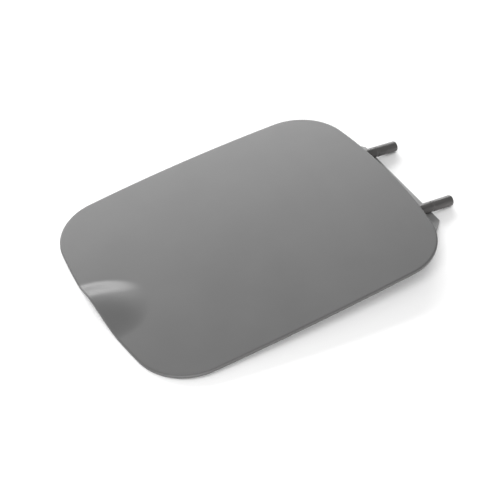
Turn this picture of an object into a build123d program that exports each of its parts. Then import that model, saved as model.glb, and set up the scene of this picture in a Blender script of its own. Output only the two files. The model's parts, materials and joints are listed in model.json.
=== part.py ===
from build123d import *
import math
import os

# Fuel filler flap: a hemmed steel skin over a pressed inner panel, with a hinge bracket and two hinge pins.
# All sizes are in millimetres. The flap is drawn in its own plane: X runs from the finger edge to the hinge
# edge, Y along the hinge, Z out of the painted face, with the origin on the crown of that face. At the end
# it is laid on a table, where it rests on its finger edge and on the tips of its pins.

# Outline and crown of the painted face
panel_length = 180.0
panel_width = 143.0
end_bow = 7.9
side_bow = 2.4
corner_radius = 30.0
crown_radius = 2900.0

# Raised finger lip on the finger edge
lip_rise = 4.2
lip_reach = 28.0
lip_far_side = 16.0
lip_near_side = 29.0
lip_crest = 2.5
lip_skew = 0.22

# Sheet gauges and the hem
skin_gauge = 0.7
inner_gauge = 0.7
hem_width = 8.0
hem_clearance = 0.05
hem_round = 0.8

# Inner panel: a shallow tub inside a flange that the hem holds
tub_margin = 13.0
tub_drop = 4.6
tub_wall_run = 5.0
finger_room = 3.0
finger_room_corner = 8.0
hole_diameter = 16.0
hole_pitch = 23.0
hole_count = 3
hole_row_y = 29.0
rib_x = -12.0
rib_length = 62.0
rib_width = 9.0
rib_rise = 1.8
drain_diameter = 7.0
drain_inset_x = 18.0
drain_inset_y = 8.0

# Hinge pins
pin_diameter = 6.0
pin_spacing = 54.0
pin_depth = 10.0
pin_slope = 9.5
pin_seat = 23.0
pin_reach = 13.6
pin_flat = 0.3
pin_tip_chamfer = 0.8
pin_groove_width = 0.8
pin_groove_depth = 0.25

# Hinge bracket under the pins
bracket_gauge = 1.2
bracket_overhang = 8.6
bracket_width = 88.0
bracket_root_width = 62.0
bracket_root = 20.0
bracket_chamfer = 8.0
bracket_corner = 4.0
bracket_bend_radius = 3.0
bracket_hole_diameter = 16.0
bracket_hole_margin = 12.0

# Formed surface: spacing of its net over the lip and over the plain dome, and how far it runs past the outline
net_fine_step = 6.0
net_coarse_step = 9.0
net_margin = 6.0
# Height of the prisms that trim the formed sheets
trim_height = 60.0
# Steps that settle the flap on the table
rest_steps = 6

half_length = panel_length / 2
half_width = panel_width / 2
end_radius = ((half_width - side_bow) ** 2 + end_bow ** 2) / (2 * end_bow)
side_radius = ((half_length - end_bow) ** 2 + side_bow ** 2) / (2 * side_bow)
hem_depth = 2 * skin_gauge + inner_gauge + 2 * hem_clearance
lip_width = lip_far_side + lip_near_side
lip_middle = lip_crest + (lip_far_side - lip_near_side) / 2
pin_radius = pin_diameter / 2
slope_sin = math.sin(math.radians(pin_slope))
slope_cos = math.cos(math.radians(pin_slope))
seat_offset = pin_radius - pin_flat
on_base = (Align.CENTER, Align.CENTER, Align.MIN)


def lip_height(x, y):
    # half a dome on the finger edge that runs out smoothly to an oval foot, steeper on its far side
    inward = x + half_length
    aside = y - lip_crest + lip_skew * inward
    side = lip_far_side if aside > 0 else lip_near_side
    reach = (inward / lip_reach) ** 2 + (aside / side) ** 2
    return lip_rise * max(0.0, 1 - reach) ** 2


def face_height(x, y):
    # painted face: a shallow dome with the finger lip raised on it
    return lip_height(x, y) - (x ** 2 + y ** 2) / (2 * crown_radius)


def even_values(start, stop, step):
    count = math.ceil((stop - start) / step)
    return [start + (stop - start) * i / count for i in range(count)]


def net_values(half_extent, lip_start, lip_end):
    # values that cover the panel and its margin, close together over the lip and wider apart over the dome
    reach = half_extent + net_margin
    before = even_values(-reach, lip_start, net_coarse_step) if lip_start > -reach else []
    over_lip = even_values(max(-reach, lip_start), lip_end, net_fine_step)
    return before + over_lip + even_values(lip_end, reach, net_coarse_step) + [reach]


def formed_face():
    # a smooth loft through sections that run from the finger edge to the hinge edge
    sections = []
    net_x = net_values(half_length, -half_length - net_margin, -half_length + lip_reach)
    net_y = net_values(half_width, lip_middle - lip_width / 2, lip_middle + lip_width / 2)
    for y in net_y:
        points = [(x, y, face_height(x, y)) for x in net_x]
        sections.append(Wire([Spline(*points)]))
    return Shell.make_loft(sections).face()


def sheet(surface, top, bottom):
    # the layer of metal between two depths below the painted face
    return extrude(Pos(0, 0, -top) * surface, amount=bottom - top, dir=(0, 0, -1))


def corner_point(inset):
    # where the bowed end and the bowed side would meet in a sharp corner, both moved inward by the inset
    end_x = half_length - end_radius
    side_y = half_width - side_radius
    apart = math.hypot(end_x, side_y)
    along = ((end_radius - inset) ** 2 - (side_radius - inset) ** 2 + apart ** 2) / (2 * apart)
    off = math.sqrt((end_radius - inset) ** 2 - along ** 2)
    x = end_x - end_x / apart * along - side_y / apart * off
    y = side_y / apart * along - end_x / apart * off
    return x, y


def panel_outline(inset=0.0):
    # four bowed sides and rounded corners, moved inward by the inset
    corner_x, corner_y = corner_point(inset)
    end_x = half_length - inset
    side_y = half_width - inset
    hinge_edge = ThreePointArc((corner_x, -corner_y), (end_x, 0), (corner_x, corner_y))
    far_edge = ThreePointArc((corner_x, corner_y), (0, side_y), (-corner_x, corner_y))
    finger_edge = ThreePointArc((-corner_x, corner_y), (-end_x, 0), (-corner_x, -corner_y))
    near_edge = ThreePointArc((-corner_x, -corner_y), (0, -side_y), (corner_x, -corner_y))
    face = make_face([hinge_edge, far_edge, finger_edge, near_edge])
    return fillet(face.vertices(), corner_radius - inset)


def prism(sketch):
    return extrude(sketch, amount=trim_height / 2, both=True)


def outer_skin(surface):
    # a thick cap with rounded edges, hollowed to leave the face, the fold and the returned hem
    cap = sheet(surface, 0, hem_depth) & prism(panel_outline())
    broad_faces = cap.faces().sort_by(SortBy.AREA)[-2:]
    cap = fillet(broad_faces.edges(), hem_round)
    slot = sheet(surface, skin_gauge, hem_depth - skin_gauge) & prism(panel_outline(skin_gauge))
    opening = sheet(surface, skin_gauge, trim_height / 2) & prism(panel_outline(hem_width))
    return cap - slot - opening


def tub_outline(inset):
    # the tub's plan, with a round bay that leaves a finger room behind the lip, moved inward by the inset
    depth = lip_reach + finger_room
    half_mouth = lip_width / 2 + finger_room
    radius = (depth + half_mouth ** 2 / depth) / 2 + inset
    middle = Vector(depth + inset - half_length - radius, lip_middle)
    plan = panel_outline(tub_margin + inset) - Pos(middle) * Circle(radius)
    sharp = [v for v in plan.vertices() if (Vector(v) - middle).length < radius + finger_room / 2]
    return fillet(sharp, finger_room_corner - inset)


def tub(raise_by=0.0):
    # sloping walls from the rim at the crown's level down to the flat floor
    rim = Pos(0, 0, raise_by) * tub_outline(0)
    floor = Pos(0, 0, raise_by - tub_drop) * tub_outline(tub_wall_run)
    return loft([floor, rim], ruled=True)


def pressed_rib(lower_by=0.0):
    # a bar with round ends, sunk until only the rib's rise stands over the tub floor
    radius = (rib_width ** 2 / 4 + rib_rise ** 2) / (2 * rib_rise)
    straight = rib_length - rib_width
    bar = Rot(0, 90, 0) * Cylinder(radius, straight)
    for end in (-1, 1):
        bar += Pos(end * straight / 2, 0, 0) * Sphere(radius)
    return Pos(rib_x, 0, inner_gauge - tub_drop + rib_rise - radius - lower_by) * bar


def inner_panel(surface):
    top = skin_gauge + hem_clearance
    flange = sheet(surface, top, top + inner_gauge) & prism(panel_outline(skin_gauge + hem_clearance))
    body = tub() & sheet(surface, top, trim_height / 2)
    panel = flange + body - tub(inner_gauge)
    above_floor = Pos(0, 0, -tub_drop) * Box(panel_length, panel_width, tub_drop, align=on_base)
    panel += pressed_rib() & above_floor
    panel -= pressed_rib(inner_gauge)
    floor_half_length = half_length - tub_margin - tub_wall_run
    floor_half_width = half_width - tub_margin - tub_wall_run
    drain_x = floor_half_length - drain_inset_x
    drain_y = floor_half_width - drain_inset_y
    for side in (-1, 1):
        panel -= Pos(drain_x, side * drain_y, -tub_drop) * Cylinder(drain_diameter / 2, tub_drop)
        for i in range(hole_count):
            hole_x = rib_x + (i - (hole_count - 1) / 2) * hole_pitch
            panel -= Pos(hole_x, side * hole_row_y, -tub_drop) * Cylinder(hole_diameter / 2, tub_drop)
    return panel


def pin_line(along, offset_down=0.0):
    # point in the flap plane's X and Z, along the pins' slope from the hinge edge and square to it
    x = half_length + along * slope_cos - offset_down * slope_sin
    z = -pin_depth - along * slope_sin - offset_down * slope_cos
    return x, z


def hinge_bracket():
    # flat root under the tub floor, then a bend and the slope that carries the pins
    edge_x, edge_z = pin_line(bracket_overhang, seat_offset)
    lower_x, lower_z = pin_line(bracket_overhang, seat_offset + bracket_gauge)
    bend_x = edge_x - (-tub_drop - edge_z) * slope_cos / slope_sin
    inner_bend_x = bend_x - bracket_gauge * math.tan(math.radians(pin_slope / 2))
    section = Plane.XZ * make_face(Polyline(
        (bracket_root, -tub_drop), (bend_x, -tub_drop), (edge_x, edge_z), (lower_x, lower_z),
        (inner_bend_x, -tub_drop - bracket_gauge), (bracket_root, -tub_drop - bracket_gauge), close=True))
    strip = extrude(section, amount=bracket_width, both=True)
    bend_edges = [e for e in strip.edges().filter_by(Axis.Y) if abs(e.center().X - bend_x) < bracket_gauge]
    upper, lower = sorted(bend_edges, key=lambda e: -e.center().Z)
    strip = fillet(upper, bracket_bend_radius + bracket_gauge)
    lower = min(strip.edges().filter_by(Axis.Y), key=lambda e: (e.center() - lower.center()).length)
    strip = fillet(lower, bracket_bend_radius)
    wide = bracket_width / 2
    root = bracket_root_width / 2
    over = bracket_gauge
    half_plan = Polyline(
        (bracket_root, 0), (bracket_root, root), (bend_x, wide), (edge_x - bracket_chamfer, wide),
        (edge_x + over, wide - bracket_chamfer - over), (edge_x + over, 0), close=True)
    plan = make_face(half_plan)
    plan += mirror(plan, Plane.XZ)
    inner = [v for v in plan.vertices() if v.X < edge_x]
    plan = fillet(inner, bracket_corner)
    plan -= Pos(edge_x - bracket_hole_margin - bracket_hole_diameter / 2, 0) * Circle(bracket_hole_diameter / 2)
    return strip & prism(plan)


def hinge_pin(y):
    # round rod with a chamfered tip, a flat where it is welded to the bracket and a relief groove between them
    rod = Cylinder(pin_radius, pin_seat + pin_reach, align=on_base)
    rod = chamfer(rod.edges().sort_by(Axis.Z)[-1], pin_tip_chamfer)
    flat = Box(pin_diameter, pin_diameter, pin_seat, align=(Align.MAX, Align.CENTER, Align.MIN))
    rod -= Pos(-seat_offset, 0, 0) * flat
    groove = Cylinder(pin_diameter, pin_groove_width, align=on_base)
    groove -= Cylinder(pin_radius - pin_groove_depth, pin_groove_width, align=on_base)
    rod -= Pos(0, 0, pin_seat) * groove
    x, z = pin_line(bracket_overhang - pin_seat)
    up = (slope_sin, 0, slope_cos)
    outward = (slope_cos, 0, -slope_sin)
    return Plane(origin=(x, y, z), x_dir=up, z_dir=outward) * rod


def lowest(shape, tilt):
    return (Rot(0, -tilt, 0) * shape).bounding_box().min.Z


def rest_tilt(skin, pin):
    # angle at which the finger edge and the pin tips touch the table together
    tip_x = pin_line(bracket_overhang + pin_reach)[0]
    tilt = 0.0
    for step in range(rest_steps):
        gap = lowest(skin, tilt) - lowest(pin, tilt)
        tilt += math.degrees(gap / (half_length + tip_x))
    return tilt


def main():
    surface = formed_face()
    flap = {
        "outer_skin": outer_skin(surface),
        "inner_panel": inner_panel(surface),
        "hinge_bracket": hinge_bracket(),
        "hinge_pin_far": hinge_pin(pin_spacing / 2),
        "hinge_pin_near": hinge_pin(-pin_spacing / 2),
    }
    # lay the flap on the table, centred over the origin
    tilt = rest_tilt(flap["outer_skin"], flap["hinge_pin_near"])
    laid = Compound([Rot(0, -tilt, 0) * shape for shape in flap.values()]).bounding_box()
    place = Pos(-laid.center().X, -laid.center().Y, -laid.min.Z) * Rot(0, -tilt, 0)
    print(f"rest tilt {tilt:.3f} degrees, place {place.position}, box {laid.size}")
    for side in (-1, 1):
        x, z = pin_line(bracket_overhang + (pin_groove_width + pin_reach - pin_tip_chamfer) / 2)
        mount = place * Pos(x, side * pin_spacing / 2, z)
        print(f"free pin stretch at {mount.position}")
    os.makedirs("parts", exist_ok=True)
    for name, shape in flap.items():
        export_step(place * shape, f"parts/{name}.step")


main()
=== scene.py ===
import json
import math
import bpy
import numpy as np
from mathutils import Matrix, Vector


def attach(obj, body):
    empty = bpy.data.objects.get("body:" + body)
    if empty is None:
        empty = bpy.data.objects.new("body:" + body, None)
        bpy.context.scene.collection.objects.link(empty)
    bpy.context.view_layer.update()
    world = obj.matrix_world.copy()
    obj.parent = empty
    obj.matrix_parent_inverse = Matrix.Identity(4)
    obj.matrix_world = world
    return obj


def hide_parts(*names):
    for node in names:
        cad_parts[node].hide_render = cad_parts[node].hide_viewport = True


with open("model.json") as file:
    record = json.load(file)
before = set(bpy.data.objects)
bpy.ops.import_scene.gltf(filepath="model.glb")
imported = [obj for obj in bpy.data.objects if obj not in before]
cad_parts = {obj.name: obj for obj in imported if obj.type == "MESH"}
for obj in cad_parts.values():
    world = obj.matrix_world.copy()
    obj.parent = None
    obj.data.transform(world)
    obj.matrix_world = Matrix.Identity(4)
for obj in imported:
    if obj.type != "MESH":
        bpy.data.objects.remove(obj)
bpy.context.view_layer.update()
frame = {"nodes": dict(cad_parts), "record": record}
print("frame loaded")

# The flap is worked out in its own plane in millimetres: x from the finger edge to the hinge edge, y along
# the hinge, z out of the painted face, origin on the crown. toFrame then lays it down as the CAD part lies.

flap = {
    "length": 180.0, "width": 143.0,           # over the bowed edges
    "endBow": 7.9, "sideBow": 2.4,             # sagitta of the short and the long edges
    "corner": 30.0, "crown": 2900.0,           # radii
    "skin": 0.7, "inner": 0.7, "gap": 0.05,    # gauges of the two sheets and the clearance in the hem
    "hemWidth": 8.0, "hemRound": 0.8,
    "lipRise": 4.2, "lipReach": 28.0, "lipFar": 16.0, "lipNear": 29.0,
    "lipCrest": 2.5, "lipSkew": 0.22,          # the crest's place on the edge, and its lean further in
}
pins = {
    "radius": 3.0, "spacing": 54.0, "depth": 10.0, "slope": 9.5,
    "seat": 23.0, "overhang": 8.6,             # length on the bracket, and how much of it is past the hinge edge
    "reach": 13.6, "groove": 0.8, "chamfer": 0.8,
    "flat": 2.7,                               # from the axis down to the flat on the bracket
}

halfLength = flap["length"] / 2
halfWidth = flap["width"] / 2
hemDepth = 2 * flap["skin"] + flap["inner"] + 2 * flap["gap"]
slopeSin = math.sin(math.radians(pins["slope"]))
slopeCos = math.cos(math.radians(pins["slope"]))
pinOut = np.array([slopeCos, 0, -slopeSin])
pinUp = np.array([slopeSin, 0, slopeCos])
across = np.array([0, 1.0, 0])


def pinPoint(along, y):
    # a point on a pin's axis, so far past the hinge edge
    return np.array([halfLength, y, -pins["depth"]]) + along * pinOut


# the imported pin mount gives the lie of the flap: its axis the tilt, its place the shift
pinMount = next(m for m in frame["record"]["mounts"] if m["name"] == "far_pin")
restTilt = math.radians(pins["slope"]) - math.asin(-pinMount["axis"][2])
tiltCos, tiltSin = math.cos(restTilt), math.sin(restTilt)


def lean(points):
    # turn about y, hinge side up
    x, y, z = np.moveaxis(np.asarray(points, float), -1, 0)
    return np.stack([x * tiltCos - z * tiltSin, y, x * tiltSin + z * tiltCos], axis=-1)


freeMiddle = pins["overhang"] + (pins["groove"] + pins["reach"] - pins["chamfer"]) / 2
restShift = np.array(pinMount["pos_m"]) * 1000 - lean(pinPoint(freeMiddle, pins["spacing"] / 2))


def toFrame(points):
    return (lean(points) + restShift) / 1000


print("flap lies at", round(math.degrees(restTilt), 3), "degrees, shifted", restShift.round(3))


def makeMesh(name, verts, faces):
    mesh = bpy.data.meshes.new(name)
    mesh.from_pydata(verts.tolist(), [], faces)
    mesh.polygons.foreach_set("use_smooth", np.ones(len(mesh.polygons), bool))
    mesh.update()
    piece = bpy.data.objects.new(name, mesh)
    bpy.context.scene.collection.objects.link(piece)
    return piece


def ringFaces(rings, around):
    # quads between closed rings that follow each other, and a fan of triangles to a pole at either end
    i, j = np.meshgrid(np.arange(rings - 1), np.arange(around), indexing="ij")
    k = (j + 1) % around
    quads = np.stack([i * around + j, (i + 1) * around + j, (i + 1) * around + k, i * around + k], -1)
    j = np.arange(around)
    k = (j + 1) % around
    pole, last = rings * around, (rings - 1) * around
    firstFan = np.stack([np.full(around, pole), j, k], -1)
    lastFan = np.stack([last + k, last + j, np.full(around, pole + 1)], -1)
    return quads.reshape(-1, 4).tolist() + firstFan.tolist() + lastFan.tolist()


def circleMeet(x1, r1, y2, r2):
    # the meeting point in the first quadrant of a circle centred on the x axis and one centred on the y axis
    apart = math.hypot(x1, y2)
    along = (r1 ** 2 - r2 ** 2 + apart ** 2) / (2 * apart)
    off = math.sqrt(r1 ** 2 - along ** 2)
    return x1 - x1 / apart * along - y2 / apart * off, y2 / apart * along - x1 / apart * off


def outlineArcs(counts):
    # eight arcs of circles that run into each other: points and outward normals from the hinge edge all round
    endR = ((halfWidth - flap["sideBow"]) ** 2 + flap["endBow"] ** 2) / (2 * flap["endBow"])
    sideR = ((halfLength - flap["endBow"]) ** 2 + flap["sideBow"] ** 2) / (2 * flap["sideBow"])
    endX, sideY, corner = halfLength - endR, halfWidth - sideR, flap["corner"]
    cornerX, cornerY = circleMeet(endX, endR - corner, sideY, sideR - corner)
    endTurn = math.atan2(cornerY, cornerX - endX)
    sideTurn = math.atan2(cornerY - sideY, cornerX)
    pi = math.pi
    arcs = [
        (endX, 0, endR, -endTurn, endTurn, "hinge"),
        (cornerX, cornerY, corner, endTurn, sideTurn, "corner"),
        (0, sideY, sideR, sideTurn, pi - sideTurn, "side"),
        (-cornerX, cornerY, corner, pi - sideTurn, pi - endTurn, "corner"),
        (-endX, 0, endR, pi - endTurn, pi + endTurn, "finger"),
        (-cornerX, -cornerY, corner, pi + endTurn, pi + sideTurn, "corner"),
        (0, -sideY, sideR, pi + sideTurn, 2 * pi - sideTurn, "side"),
        (cornerX, -cornerY, corner, 2 * pi - sideTurn, 2 * pi - endTurn, "corner"),
    ]
    base, normal = [], []
    for cx, cy, radius, start, stop, kind in arcs:
        turn = np.linspace(start, stop, counts[kind], endpoint=False)
        direction = np.stack([np.cos(turn), np.sin(turn)], -1)
        normal.append(direction)
        base.append(np.array([cx, cy]) + radius * direction)
    return np.concatenate(base), np.concatenate(normal)


def lipHeight(x, y):
    # half a dome on the finger edge: one less the squared distance from the crest, measured in reaches, and all
    # of it squared, so that it ends smoothly at an oval foot, steeper on its far side
    inward = x + halfLength
    aside = y - flap["lipCrest"] + flap["lipSkew"] * inward
    side = np.where(aside > 0, flap["lipFar"], flap["lipNear"])
    reach = (inward / flap["lipReach"]) ** 2 + (aside / side) ** 2
    return flap["lipRise"] * np.clip(1 - reach, 0, None) ** 2


def faceHeight(x, y):
    # the lip on a crown that falls with the square of the distance from the middle
    return lipHeight(x, y) - (x ** 2 + y ** 2) / (2 * flap["crown"])


skinMesh = {
    "around": {"hinge": 70, "finger": 110, "side": 84, "corner": 40},
    "insetEnd": 10.0,                                      # inside this the rings shrink towards the middle
    "topInsets": (8.5, 7.0, 5.5, 4.0, 2.8, 2.0, 1.3),      # rings of the painted face over the hem
    "returnInsets": (2.5, 5.0), "slotInset": 4.0,          # rings on the hem's return and inside its fold
    "foldSteps": 7, "edgeBevel": 0.2,
    "innerRings": 70, "crowding": 1.35, "underRings": 14,
}


def skinSection():
    # the hem's section as (inset, depth) pairs: painted face, rounded fold, return, and back inside the fold
    r, width, skin = flap["hemRound"], flap["hemWidth"], flap["skin"]
    end, slot, bevel = skinMesh["insetEnd"], skinMesh["slotInset"], skinMesh["edgeBevel"]
    slotLow = hemDepth - skin
    turn = np.linspace(0, math.pi / 2, skinMesh["foldSteps"])
    top = [(inset, 0.0) for inset in (end, *skinMesh["topInsets"])]
    fold = np.stack([r - r * np.sin(turn), r - r * np.cos(turn)], -1)
    foldBack = np.stack([r - r * np.cos(turn), hemDepth - r + r * np.sin(turn)], -1)
    back = [(inset, hemDepth) for inset in (*skinMesh["returnInsets"], width - bevel)]
    back += [(width, hemDepth - bevel), (width, slotLow), (slot, slotLow), (skin, slotLow)]
    back += [(skin, skin), (slot, skin), (end, skin)]
    return np.concatenate([top, fold, foldBack, back])


def buildSkin():
    # rings that follow the outline: the face from the middle outwards, the hem's section, and the underside
    # back to the middle, each at the face's height less its depth
    base, normal = outlineArcs(skinMesh["around"])
    section = skinSection()
    inset, depth = section[:, 0, None], section[:, 1, None]
    hemXY = base[None] - inset[..., None] * normal[None]
    start = base - skinMesh["insetEnd"] * normal
    # the face's rings crowd near the hem, where the lip is formed, and open out towards the middle
    shrink = 1 - np.linspace(0, 1, skinMesh["innerRings"] + 1)[1:-1] ** skinMesh["crowding"]
    topXY = shrink[::-1, None, None] * start[None]
    underShrink = 1 - np.linspace(0, 1, skinMesh["underRings"] + 1)[1:-1]
    underXY = underShrink[:, None, None] * start[None]
    xy = np.concatenate([topXY, hemXY, underXY])
    depths = np.concatenate([np.zeros((len(topXY), 1)), depth, np.full((len(underXY), 1), flap["skin"])])
    z = faceHeight(xy[..., 0], xy[..., 1]) - depths
    rings = np.concatenate([xy, z[..., None]], -1)
    poles = np.array([[0, 0, 0], [0, 0, -flap["skin"]]])
    verts = np.concatenate([rings.reshape(-1, 3), poles])
    return makeMesh("outer_skin_sheet", toFrame(verts), ringFaces(len(rings), len(base)))


pinMesh = {
    "around": 48, "rows": 16,                  # rows along the seat, and as many along the free stretch
    "rootBevel": 0.3, "seatStart": 1.0,
    "grooveDepth": 0.12, "grooveFlank": 0.1,
    "tipRound": 0.9, "tipSteps": 6, "tipLead": 0.3,
    "hub": 0.5,                                # the small ring round the pole at either end
}


def buildPin(name, y):
    # a profile of radius against length, turned about the pin's axis: bevelled root, relief groove, round tip
    r, tip, bevel, hub = pins["radius"], pinMesh["tipRound"], pinMesh["rootBevel"], pinMesh["hub"]
    rows, flank = pinMesh["rows"], pinMesh["grooveFlank"]
    seat, free, total = pins["seat"], pins["seat"] + pins["groove"], pins["seat"] + pins["reach"]
    turn = np.linspace(0, math.pi / 2, pinMesh["tipSteps"])
    along = np.concatenate([
        [0, 0, bevel], np.linspace(pinMesh["seatStart"], seat, rows), [seat + flank, free - flank],
        np.linspace(free, total - tip - pinMesh["tipLead"], rows), total - tip + tip * np.sin(turn), [total],
    ])
    radius = np.concatenate([
        [hub, r - bevel, r], np.full(rows, r), np.full(2, r - pinMesh["grooveDepth"]),
        np.full(rows, r), r - tip + tip * np.cos(turn), [hub],
    ])
    angle = np.linspace(0, 2 * math.pi, pinMesh["around"], endpoint=False)
    aside = radius[:, None] * np.cos(angle)
    # the flat that lies on the bracket stops the rod's lower side along its seat
    lowest = np.where(along > seat, -r, -pins["flat"])
    level = np.maximum(radius[:, None] * np.sin(angle), lowest[:, None])
    root = pinPoint(pins["overhang"] - seat, y)
    points = root + along[:, None, None] * pinOut + aside[..., None] * across + level[..., None] * pinUp
    verts = np.concatenate([points.reshape(-1, 3), np.stack([root, root + total * pinOut])])
    return makeMesh(name, toFrame(verts), ringFaces(len(along), len(angle)))


bead = {
    "from": -12.5, "to": -1.5, "aside": 2.0, "lift": 0.15,     # along the pin, beside its axis, above the flat
    "radius": 0.9, "around": 14, "rows": 60,
    "ripple": 0.14, "rippleTurn": 4.2,                         # share of the radius, and radians per millimetre
    "endPower": 8, "endLeast": 0.02,
}


def buildBead(name, y):
    # a weld bead beside a pin: a round bar whose radius ripples along it and closes smoothly at both ends
    along = np.linspace(bead["from"], bead["to"], bead["rows"])
    share = np.linspace(-1, 1, bead["rows"])
    closing = np.sqrt(np.clip(1 - share ** bead["endPower"], bead["endLeast"], None))
    radius = bead["radius"] * closing * (1 + bead["ripple"] * np.sin(along * bead["rippleTurn"]))
    angle = np.linspace(0, 2 * math.pi, bead["around"], endpoint=False)
    axis = np.stack([pinPoint(value, y) for value in along]) + (bead["lift"] - pins["flat"]) * pinUp
    ring = np.cos(angle)[:, None] * across + np.sin(angle)[:, None] * pinUp
    points = axis[:, None] + radius[:, None, None] * ring[None]
    verts = np.concatenate([points.reshape(-1, 3), axis[[0, -1]]])
    return makeMesh(name, toFrame(verts), ringFaces(len(along), len(angle)))


def setInputs(node, values):
    for name, value in values.items():
        node.inputs[name].default_value = value


def newGroup(name, inputs, outputs):
    group = bpy.data.node_groups.new(name, "ShaderNodeTree")
    for label, kind, value in inputs:
        group.interface.new_socket(label, in_out="INPUT", socket_type=kind).default_value = value
    for label, kind in outputs:
        group.interface.new_socket(label, in_out="OUTPUT", socket_type=kind)
    return group, group.nodes.new("NodeGroupInput"), group.nodes.new("NodeGroupOutput")


def addNoise(tree, vector, scale, detail):
    noise = tree.nodes.new("ShaderNodeTexNoise")
    setInputs(noise, {"Scale": scale, "Detail": detail})
    tree.links.new(vector, noise.inputs["Vector"])
    return noise.outputs["Fac"]


noiseSpan = (0.3, 0.7)      # most of a noise lies between these


def mapped(tree, value):
    # spread the middle of a noise from nought to one
    ranged = tree.nodes.new("ShaderNodeMapRange")
    setInputs(ranged, {"From Min": noiseSpan[0], "From Max": noiseSpan[1], "To Min": 0.0, "To Max": 1.0})
    tree.links.new(value, ranged.inputs["Value"])
    return ranged


def coatGroup(name, coat):
    # paint or oxide: two tones in soft clouds, patchy sheen and a fine skin of bumps, drawn out along x if asked
    inputs = [("Dark", "NodeSocketColor", (0, 0, 0, 1)), ("Light", "NodeSocketColor", (1, 1, 1, 1)),
              ("Smooth", "NodeSocketFloat", 0.3), ("Rough", "NodeSocketFloat", 0.4)]
    outputs = [("Color", "NodeSocketColor"), ("Roughness", "NodeSocketFloat"), ("Height", "NodeSocketFloat")]
    group, given, result = newGroup(name, inputs, outputs)
    nodes, links = group.nodes, group.links
    place = nodes.new("ShaderNodeTexCoord")
    stretch = nodes.new("ShaderNodeMapping")
    setInputs(stretch, {"Scale": coat["stretch"]})
    links.new(place.outputs["Object"], stretch.inputs["Vector"])
    vector = stretch.outputs["Vector"]
    clouds = mapped(group, addNoise(group, vector, *coat["clouds"]))
    tone = nodes.new("ShaderNodeMix")
    tone.data_type = "RGBA"
    links.new(clouds.outputs["Result"], tone.inputs["Factor"])
    links.new(given.outputs["Dark"], tone.inputs["A"])
    links.new(given.outputs["Light"], tone.inputs["B"])
    links.new(tone.outputs["Result"], result.inputs["Color"])
    sheen = mapped(group, addNoise(group, vector, *coat["sheen"]))
    links.new(given.outputs["Smooth"], sheen.inputs["To Min"])
    links.new(given.outputs["Rough"], sheen.inputs["To Max"])
    links.new(sheen.outputs["Result"], result.inputs["Roughness"])
    links.new(addNoise(group, vector, *coat["grain"]), result.inputs["Height"])
    return group


# each noise as its scale and its detail
primerCoat = {"stretch": (1, 1, 1), "clouds": (35.0, 4.0), "sheen": (60.0, 3.0), "grain": (900.0, 2.0)}
steelCoat = {"stretch": (0.12, 1, 1), "clouds": (400.0, 4.0), "sheen": (500.0, 3.0), "grain": (2500.0, 2.0)}
primerGroup = coatGroup("primer_coat", primerCoat)
steelGroup = coatGroup("drawn_steel", steelCoat)
bumpDepth = 0.0002      # metres


def grey(level, warm=0.0):
    return (level * (1 + warm), level, level * (1 - warm / 2), 1)


def coated(name, group, tones, sheen, bump):
    # the coat's two tones, its smoothest and roughest sheen, and the strength of its bumps
    material = bpy.data.materials.new(name)
    material.use_nodes = True
    nodes, links = material.node_tree.nodes, material.node_tree.links
    shader = nodes["Principled BSDF"]
    coat = nodes.new("ShaderNodeGroup")
    coat.node_tree = group
    setInputs(coat, {"Dark": tones[0], "Light": tones[1], "Smooth": sheen[0], "Rough": sheen[1]})
    relief = nodes.new("ShaderNodeBump")
    setInputs(relief, {"Strength": bump, "Distance": bumpDepth})
    links.new(coat.outputs["Color"], shader.inputs["Base Color"])
    links.new(coat.outputs["Roughness"], shader.inputs["Roughness"])
    links.new(coat.outputs["Height"], relief.inputs["Height"])
    links.new(relief.outputs["Normal"], shader.inputs["Normal"])
    return material


looks = {
    "skin": coated("skin_primer", primerGroup, (grey(0.079), grey(0.086)), (0.43, 0.47), 0.02),
    "inner": coated("inner_primer", primerGroup, (grey(0.12), grey(0.15)), (0.45, 0.6), 0.06),
    # the bracket's primer is the skin's primer with painted light: its grey is raised about threefold where its
    # faces catch the light
    "bracket": coated("bracket_primer", primerGroup, (grey(0.2), grey(0.24)), (0.4, 0.55), 0.06),
    "pin": coated("pin_steel", steelGroup, (grey(0.045, 0.03), grey(0.075, 0.05)), (0.35, 0.5), 0.12),
    "bead": coated("weld_steel", steelGroup, (grey(0.12), grey(0.18)), (0.4, 0.6), 0.2),
}
print("looks made")

skin = buildSkin()
skin.data.materials.append(looks["skin"])
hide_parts("outer_skin")
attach(skin, "root")
print("skin", len(skin.data.polygons), "faces")

for name, side in (("far", 1), ("near", -1)):
    pinY = side * pins["spacing"] / 2
    pin = buildPin("hinge_rod_" + name, pinY)
    pin.data.materials.append(looks["pin"])
    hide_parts("hinge_pin_" + name)
    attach(pin, "root")
    for label, aside in (("inner", -side), ("outer", side)):
        weld = buildBead("weld_bead_" + name + "_" + label, pinY + aside * bead["aside"])
        weld.data.materials.append(looks["bead"])
        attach(weld, "root")

# these two CAD nodes are shown as they are
for node, look in (("inner_panel", "inner"), ("hinge_bracket", "bracket")):
    cad = frame["nodes"][node]
    cad.data.materials.clear()
    cad.data.materials.append(looks[look])
print("pins, beads, inner panel and bracket dressed")

# floor, light and camera; turn is the camera's heading, and away and aside are measured along and across it
studio = {"floor": 0.98, "floorRough": 0.9, "floorHalf": 4.0, "world": 0.44, "turn": 28.9}
softboxes = {
    "back": {"away": 0.80, "rise": 0.36, "aside": -0.28, "wide": 1.3, "tall": 0.45, "power": 14.5},
    "front": {"away": -0.55, "rise": 1.10, "aside": -0.25, "wide": 0.8, "tall": 0.6, "power": 5.5},
    "fill": {"away": -0.90, "rise": 0.26, "aside": -0.10, "wide": 1.5, "tall": 0.4, "power": 9.0},
}
# the camera that fits the photo, in the flap's own plane
view = {
    "place": (-243.37, -507.47, 550.378),
    "right": (0.863724, -0.4985, -0.073985), "up": (0.399334, 0.58744, 0.703883),
    "lens": 108.0, "sensor": 36.0,
}


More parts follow.
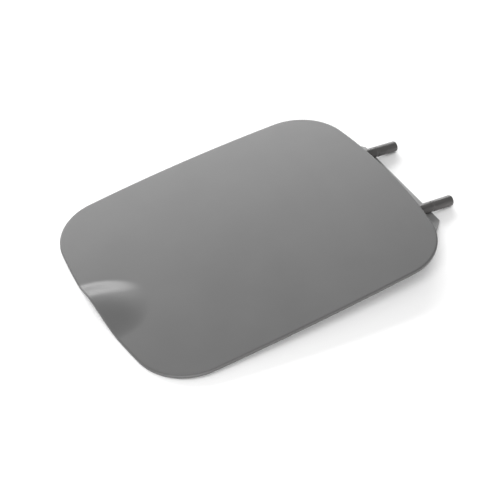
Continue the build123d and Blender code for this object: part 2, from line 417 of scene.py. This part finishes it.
def buildFloor():
    size, tone = studio["floorHalf"], studio["floor"]
    verts = np.array([[-size, -size, 0], [size, -size, 0], [size, size, 0], [-size, size, 0]])
    floor = makeMesh("floor", verts, [[0, 1, 2, 3]])
    material = bpy.data.materials.new("floor_white")
    material.use_nodes = True
    shader = material.node_tree.nodes["Principled BSDF"]
    setInputs(shader, {"Base Color": grey(tone), "Roughness": studio["floorRough"], "Specular IOR Level": 0.0})
    floor.data.materials.append(material)


def buildWorld():
    # the camera sees plain white, everything else a softer light
    world = bpy.data.worlds.new("studio_world")
    bpy.context.scene.world = world
    world.use_nodes = True
    nodes, links = world.node_tree.nodes, world.node_tree.links
    light, white = nodes["Background"], nodes.new("ShaderNodeBackground")
    setInputs(light, {"Color": grey(1), "Strength": studio["world"]})
    setInputs(white, {"Color": grey(1), "Strength": 1.0})
    path = nodes.new("ShaderNodeLightPath")
    mix = nodes.new("ShaderNodeMixShader")
    links.new(path.outputs["Is Camera Ray"], mix.inputs["Fac"])
    links.new(light.outputs["Background"], mix.inputs[1])
    links.new(white.outputs["Background"], mix.inputs[2])
    links.new(mix.outputs["Shader"], nodes["World Output"].inputs["Surface"])


def buildSoftbox(name, values):
    turn = math.radians(studio["turn"])
    ahead = np.array([math.sin(turn), math.cos(turn), 0])
    right = np.array([math.cos(turn), -math.sin(turn), 0])
    place = ahead * values["away"] + right * values["aside"] + np.array([0, 0, values["rise"]])
    lamp = bpy.data.lights.new(name + "_softbox", "AREA")
    lamp.shape = "RECTANGLE"
    lamp.size, lamp.size_y = values["wide"], values["tall"]
    lamp.energy = values["power"]
    box = bpy.data.objects.new(name + "_softbox", lamp)
    bpy.context.scene.collection.objects.link(box)
    box.location = tuple(place)
    box.rotation_euler = (-Vector(place)).to_track_quat("-Z", "Y").to_euler()      # towards the flap


def buildCamera():
    camera = bpy.data.cameras.new("photo_view")
    camera.sensor_width = view["sensor"]
    camera.lens = view["lens"]
    viewer = bpy.data.objects.new("photo_view", camera)
    bpy.context.scene.collection.objects.link(viewer)
    right, up = lean(view["right"]), lean(view["up"])
    axes = np.eye(4)
    axes[:3] = np.stack([right, up, np.cross(right, up), toFrame(view["place"])], axis=1)
    viewer.matrix_world = Matrix(axes.tolist())
    bpy.context.scene.camera = viewer


buildFloor()
buildWorld()
for name, values in softboxes.items():
    buildSoftbox(name, values)
buildCamera()
bpy.context.scene.view_settings.view_transform = "Standard"
print("floor, light and camera set")
